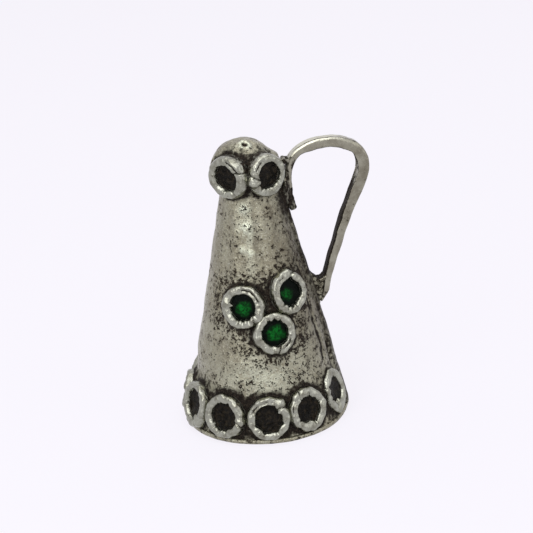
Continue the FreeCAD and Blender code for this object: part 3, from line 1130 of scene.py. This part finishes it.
def ball_highlight(co, out):
    """A painted highlight in a ring round the pit on the top."""
    return 0.95 * bump(0.32, pit_distance(co) - 0.6)


def make_lid():
    low = math.degrees(math.asin((LID_RIM - BALL_Z) / BALL_RADIUS))
    angles = [math.radians(low + (90 - low) * i / BALL_RINGS) for i in range(BALL_RINGS)]
    outline = [(BALL_RADIUS * math.cos(a), BALL_Z + BALL_RADIUS * math.sin(a)) for a in angles]
    ball = outward(lathe(outline + [(0.03, BALL_Z + BALL_RADIUS)], BALL_SIDES, capped=True))
    hammered(ball, ball_blow)
    modified(ball, "SOLIDIFY", thickness=BALL_SHEET, offset=-1.0)
    painted(ball, "grime_and_shade", ball_grime_and_shade)
    painted(ball, "pitting", lambda co, out: 0.4)
    painted(ball, "painted_highlight", ball_highlight)
    finished(ball, "lid_dome_sheet", "lid_dome", "lid", "oxidised_silver", SHEET_FINISH, 70.0)


def make_hinge():
    """The hinge, and the ring inside the lid."""
    for node, body, grain, rounds in WORN_PIECES:
        piece = solid_copy(node, grain, rounds)
        painted(piece, "grime_and_shade", lambda co, out: 0.55 + 0.4 * noise.noise(co * 1.5))
        finished(piece, node + "_worn", node, body, "oxidised_silver", RUBBED_FINISH, 50.0)


# Handle

# Solder where the strap's foot joins the neck: place and half sizes
ROOT_SOLDER = [((4.35, 0.0, 30.6), (0.8, 1.3, 2.2)), ((4.5, -0.5, 31.6), (0.55, 1.2, 1.2)),
               ((4.9, 0.0, 29.3), (0.7, 1.15, 0.9))]

# The solder web at the strap's lower end: the height of its foot and of the bottom of its hollow,
# and where across the web that bottom is
WEB_LOW = 13.8
WEB_TOP = 18.0
WEB_MIDDLE = 0.65
WEB_THICKNESS = 1.6
WEB_GRAIN = 0.07


def strap_blow(co):
    sway = Vector([noise.noise(co * 0.5 + Vector((7.0 * i, 9.0 * i, 0))) for i in range(3)])
    rough = 0.03 + 0.08 * (1 - step(32.0, 33.2, co.z)) * (1 - step(5.6, 6.4, co.x))
    moved = co + 0.07 * sway + rough * noise.noise(co * 1.6) * Vector((1, 0.6, 1))
    moved.z += 0.4 * (1 - step(28.4, 31.5, moved.z)) * (1 - step(6.0, 7.0, moved.x))
    melted = 1 - step(14.9, 16.5, moved.z)
    flush = cone_radius(moved.z) + LAP_RISE
    if moved.x > flush:
        moved.x = flush + (moved.x - flush) * (1 - 0.85 * melted)
    moved.z -= 0.9 * (1 - step(14.9, 17.0, moved.z)) * step(7.0, 7.6, moved.x)
    return moved


def strap_inside(co, out):
    """1 on the face that looks into the handle's loop."""
    arch = step(0.35, 0.8, out.dot((LOOP_MIDDLE - co).normalized()))
    leg = step(0.3, 0.7, -out.x) * step(7.0, 8.0, co.x) * (1 - step(29.0, 35.0, co.z))
    return max(arch, leg)


def strap_swell(co, out):
    """The arch is thicker on its inside, and the shoulder stands further out."""
    arch = step(0.3, 0.9, -out.z) * step(33.5, 35.0, co.z) * step(6.6, 8.6, co.x)
    far = step(10.5, 13.0, co.x) * step(26.0, 30.0, co.z)
    return 0.34 * arch + far * (0.36 * step(0.4, 0.95, out.x) - 0.3 * step(0.5, 0.95, -out.x))


# Painted shade on the faces that look into the loop, grime with painted shade at the root and the lower
# end, darker on the outer leg, a scratched line on the arch, and a little grime all over
def strap_grime_and_shade(co, out):
    streak = noise.noise(Vector((co.x * 2.2, co.y * 2.2, co.z * 0.5)))
    tip = 0.34 * (1 - step(29.8, 32.6, co.z))
    root = (0.54 + tip + 0.55 * streak) * (1 - step(34.5, 37.6, co.z)) * (1 - step(6.6, 8.0, co.x))
    end = 1 - step(15.5, 18.5, co.z)
    leg = 0.3 * step(8.0, 9.0, co.x) * (1 - step(26.0, 33.0, co.z))
    scratch = co.y + 0.5 + 0.12 * drift(co.x * 0.9, 2.0)
    line = bump(0.14, scratch) * step(0.3, 0.6, out.z) * step(35.6, 36.4, co.z)
    return max(0.95 * strap_inside(co, out), root, 0.5 * end, leg, line, 0.2)


def strap_highlight(co, out):
    """A painted highlight along the top of the arch, fading towards the far shoulder."""
    top = step(0.2, 0.8, out.z)
    return (0.12 + 0.75 * top) * step(34.5, 36.6, co.z) * (1 - 0.7 * step(11.0, 13.6, co.x))


def web_blow(co):
    """Lays a flat sheet, 0 to 1 each way, between cone and strap, with a round hollow at its top."""
    share, height = co.x, co.y
    away = share - WEB_MIDDLE
    rise = 0.9 * (away / (WEB_MIDDLE - 0.2 if away < 0 else 1 - WEB_MIDDLE)) ** 2
    z = WEB_LOW + height * (WEB_TOP + rise - WEB_LOW)
    cone_side = cone_radius(z) - 0.2
    strap_side = 8.3 + 0.3 * (z - 15.5)
    return Vector((cone_side + share * (strap_side - cone_side), 0, z))


def web_rough(co):
    lumps = 0.14 * noise.noise(co * 1.3) + 0.08 * noise.noise(co * 3.0)
    return co + lumps * Vector((0.3, math.copysign(1.0, co.y), 0.3))


# Painted shade on the web's upper faces under the strap, and mottled grime elsewhere
def web_grime_and_shade(co, out):
    return max(0.95 * step(0.3, 0.7, out.z), 0.42 + 0.3 * noise.noise(co * 1.1))


def make_strap():
    strap = solid_copy("handle_strap", 0.1, 9, ROOT_SOLDER)
    swollen(strap, strap_swell)
    hammered(strap, strap_blow)
    modified(strap, "SMOOTH", factor=0.5, iterations=5)
    painted(strap, "grime_and_shade", strap_grime_and_shade)
    painted(strap, "painted_highlight", strap_highlight)
    finished(strap, "handle_strap_bar", "handle_strap", "jug", "oxidised_silver", RUBBED_FINISH, 60.0)


def make_web():
    begin()
    bpy.ops.mesh.primitive_grid_add(x_subdivisions=24, y_subdivisions=36, size=1.0,
                                    location=(0.5, 0.5, 0))
    web = bpy.context.object
    bpy.ops.object.transform_apply(location=True)
    hammered(web, web_blow)
    modified(web, "SOLIDIFY", thickness=WEB_THICKNESS, offset=0.0)
    outward(web)
    modified(web, "REMESH", mode="VOXEL", voxel_size=WEB_GRAIN)
    modified(web, "SMOOTH", factor=0.5, iterations=6)
    hammered(web, web_rough)
    painted(web, "grime_and_shade", web_grime_and_shade)
    painted(web, "pitting", lambda co, out: 0.7)
    finished(web, "handle_gusset_solder", "handle_gusset", "jug", "oxidised_silver", SHEET_FINISH, 60.0)


# Stage

# Paper as it is seen, the floor as light falls on it, and the light from all round
PAPER = (0.930, 0.905, 0.965, 1)
FLOOR_LIT = (0.86, 0.84, 0.9, 1)
SKY = (0.95, 0.96, 1.0, 1)

# Lamps, in metres and watts: name, place, width, height and power
LAMPS = [("key_lamp", (-0.13, -0.2, 0.3), 0.32, 0.32, 0.72),
         ("fill_lamp", (0.26, -0.22, 0.12), 0.25, 0.25, 0.12),
         ("top_lamp", (0.02, 0.05, 0.34), 0.3, 0.3, 0.36),
         ("strip_lamp", (-0.22, -0.29, 0.07), 0.08, 0.2, 0.06)]
LAMP_AIM = Vector((0, 0, 0.02))


def seen_directly(f):
    """1 for rays that show the background: straight, mirrored or through glass."""
    rays = [f.node("ShaderNodeLightPath", name)
            for name in ("Is Camera Ray", "Is Glossy Ray", "Is Transmission Ray")]
    return rays[0] | rays[1] | rays[2]


def make_lamp(name, place, width, height, power):
    lamp = bpy.data.lights.new(name, "AREA")
    lamp.shape = "RECTANGLE"
    lamp.size = width
    lamp.size_y = height
    lamp.energy = power
    obj = bpy.data.objects.new(name, lamp)
    bpy.context.scene.collection.objects.link(obj)
    turn = (LAMP_AIM - Vector(place)).to_track_quat("-Z", "Y")
    obj.matrix_world = Matrix.Translation(place) @ turn.to_matrix().to_4x4()


def make_stage():
    begin()
    bpy.ops.mesh.primitive_plane_add(size=6.0)
    floor = bpy.context.object
    floor.name = "paper_floor"
    material, f = new_material("paper_floor")
    cloth = f.node("ShaderNodeBsdfDiffuse", 0, None, {"Color": FLOOR_LIT})
    glow = f.node("ShaderNodeEmission", 0, None, {"Color": PAPER, "Strength": 1.03})
    both = f.node("ShaderNodeMixShader", 0, None, {0: seen_directly(f) * 0.85, 1: cloth, 2: glow})
    f.node_out("ShaderNodeOutputMaterial", both)
    floor.data.materials.append(material)

    world = bpy.data.worlds.new("studio")
    bpy.context.scene.world = world
    world.use_nodes = True
    f = Finish(world.node_tree)
    light = f.node("ShaderNodeBackground", 0, None, {"Color": SKY, "Strength": 0.55})
    shown = f.node("ShaderNodeBackground", 0, None, {"Color": PAPER, "Strength": 1.0})
    both = f.node("ShaderNodeMixShader", 0, None, {0: seen_directly(f), 1: light, 2: shown})
    f.node_out("ShaderNodeOutputWorld", both)

    for lamp in LAMPS:
        make_lamp(*lamp)


# Camera, in degrees and millimetres: where it stands, how it leans, the point in the middle of the
# picture, and its lens
AZIMUTH = -9.0
ELEVATION = 22.0
LEAN = 4.772
DISTANCE = 280.0
AIM_Z = 18.0
AIM_SIDE = 1.07
AIM_UP = 2.516
LENS = 142.35


def make_camera():
    a, e, lean = (math.radians(v) for v in (AZIMUTH, ELEVATION, LEAN))
    back = Vector((math.sin(a) * math.cos(e), -math.cos(a) * math.cos(e), math.sin(e)))
    level = Vector((math.cos(a), math.sin(a), 0))
    steep = back.cross(level)
    right = math.cos(lean) * level - math.sin(lean) * steep
    up = math.sin(lean) * level + math.cos(lean) * steep
    place = Vector((0, 0, AIM_Z)) + AIM_SIDE * right + AIM_UP * up + DISTANCE * back
    lens = bpy.data.cameras.new("camera")
    lens.lens = LENS
    lens.sensor_width = 36.0
    lens.clip_start = 0.01
    lens.clip_end = 20.0
    camera = bpy.data.objects.new("camera", lens)
    bpy.context.scene.collection.objects.link(camera)
    camera.matrix_world = Matrix.Translation(place * MM) @ Matrix((right, up, back)).transposed().to_4x4()
    bpy.context.scene.camera = camera


make_cone()
make_plate()
make_collets()
make_strap()
make_web()
make_lid()
make_hinge()
make_stage()
make_camera()
bpy.context.scene.view_settings.view_transform = "Standard"
